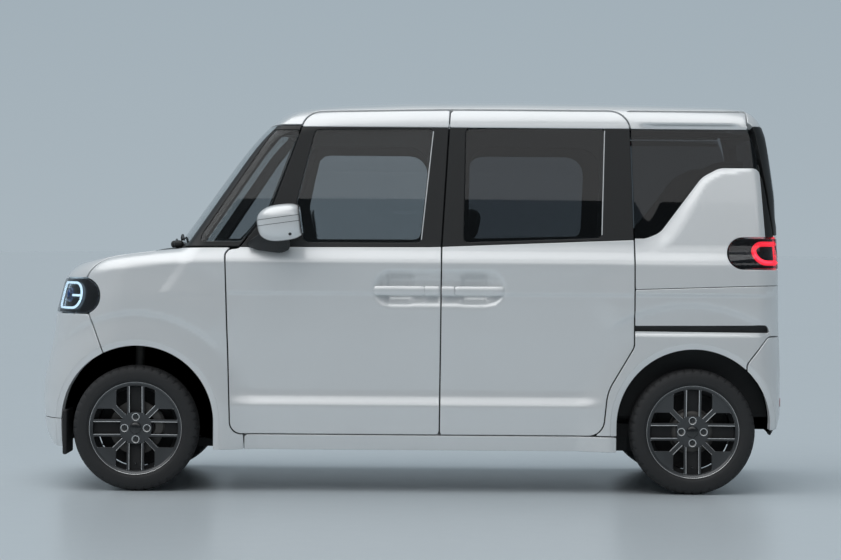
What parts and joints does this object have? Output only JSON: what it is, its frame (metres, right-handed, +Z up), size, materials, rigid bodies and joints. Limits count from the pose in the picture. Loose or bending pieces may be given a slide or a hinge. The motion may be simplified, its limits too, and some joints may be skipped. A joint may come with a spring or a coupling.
{
  "type": "kei car",
  "caption": "Tall five-door kei wagon with hinged front doors, sliding rear doors, hood, tailgate, glass, cabin and steered running gear.",
  "frame": {"origin": "on the ground under the middle of the car's length, on its centre line", "axes": "+X to the rear, +Y to the car's right, +Z up"},
  "size_m": [3.3955, 1.845, 1.785],
  "materials": {
    "paint": "pearl white lacquer",
    "glass": "tinted",
    "clear_glass": "clear, faint green",
    "headlamp": "smoked",
    "tail_lamp": "red",
    "black_gloss": "polished black",
    "black_plastic": "grained black",
    "steel": "bare",
    "iron": "cast",
    "underbody": "dark primer",
    "alloy": "machined and dark grey",
    "tyre": "matt",
    "cloth": "woven"
  },
  "bodies": {
    "hood": {"hood": "paint"},
    "body": {"front_fenders": "paint", "front_bumper": "paint", "headlamps": "headlamp", "front_grille": "black_gloss", "cowl_bulkhead": "underbody", "windshield": "clear_glass", "roof_panel": "paint", "body_side_left": "paint", "body_side_right": "paint", "quarter_glass": "glass", "sliding_door_left": "paint", "sliding_door_right": "paint", "sliding_door_glass": "glass", "rear_bumper": "paint", "tail_lamps": "tail_lamp", "floor_pan": "underbody", "front_arch_liners": "black_plastic", "rear_wheel_houses": "black_plastic", "front_aprons": "underbody", "front_subframe": "underbody", "engine": "iron", "rear_axle_beam": "underbody", "fuel_tank": "black_plastic", "exhaust": "steel", "front_seats": "cloth", "rear_seats": "cloth", "dashboard": "black_plastic", "steering_wheel": "black_plastic"},
    "front_door_left": {"front_door_left": "paint", "front_door_glass_left": "glass", "door_mirror_left": "paint"},
    "front_door_right": {"front_door_right": "paint", "front_door_glass_right": "glass", "door_mirror_right": "paint"},
    "tailgate": {"tailgate": "paint", "tailgate_glass": "glass"},
    "knuckle_left": {"knuckle_left": "iron"},
    "knuckle_right": {"knuckle_right": "iron"},
    "wheel_front_left": {"tyre_front_left": "tyre", "rim_front_left": "alloy"},
    "wheel_front_right": {"tyre_front_right": "tyre", "rim_front_right": "alloy"},
    "wheel_rear_left": {"tyre_rear_left": "tyre", "rim_rear_left": "alloy"},
    "wheel_rear_right": {"tyre_rear_right": "tyre", "rim_rear_right": "alloy"}
  },
  "joints": [
    {"name": "steer_left", "type": "hinge", "parent": "body", "child": "knuckle_left", "pos_m": [-1.2295, -0.59, 0.195], "axis": [0, 0.1802, 0.9836], "range_deg": [-34, 34]},
    {"name": "wheel_front_left_spin", "type": "hinge", "parent": "knuckle_left", "child": "wheel_front_left", "pos_m": [-1.2295, -0.65, 0.281], "axis": [0, 1, 0], "continuous": true},
    {"name": "wheel_rear_left_spin", "type": "hinge", "parent": "body", "child": "wheel_rear_left", "pos_m": [1.2655, -0.65, 0.281], "axis": [0, 1, 0], "continuous": true},
    {"name": "front_door_left_hinge", "type": "hinge", "parent": "body", "child": "front_door_left", "pos_m": [-0.7795, -0.7135, 0.68], "axis": [0, 0, -1], "range_deg": [0, 65]},
    {"name": "steer_right", "type": "hinge", "parent": "body", "child": "knuckle_right", "pos_m": [-1.2295, 0.59, 0.195], "axis": [0, -0.1802, 0.9836], "range_deg": [-34, 34]},
    {"name": "wheel_front_right_spin", "type": "hinge", "parent": "knuckle_right", "child": "wheel_front_right", "pos_m": [-1.2295, 0.65, 0.281], "axis": [0, 1, 0], "continuous": true},
    {"name": "wheel_rear_right_spin", "type": "hinge", "parent": "body", "child": "wheel_rear_right", "pos_m": [1.2655, 0.65, 0.281], "axis": [0, 1, 0], "continuous": true},
    {"name": "front_door_right_hinge", "type": "hinge", "parent": "body", "child": "front_door_right", "pos_m": [-0.7795, 0.7135, 0.68], "axis": [0, 0, 1], "range_deg": [0, 65]},
    {"name": "hood_hinge", "type": "hinge", "parent": "body", "child": "hood", "pos_m": [-1.215, 0, 1.06], "axis": [0, 1, 0], "range_deg": [0, 55]},
    {"name": "tailgate_hinge", "type": "hinge", "parent": "body", "child": "tailgate", "pos_m": [1.5475, 0, 1.741], "axis": [0, -1, 0], "range_deg": [0, 82]}
  ],
  "couplings": [
    {"joint": "steer_right", "follows": "steer_left", "ratio": 1}
  ]
}
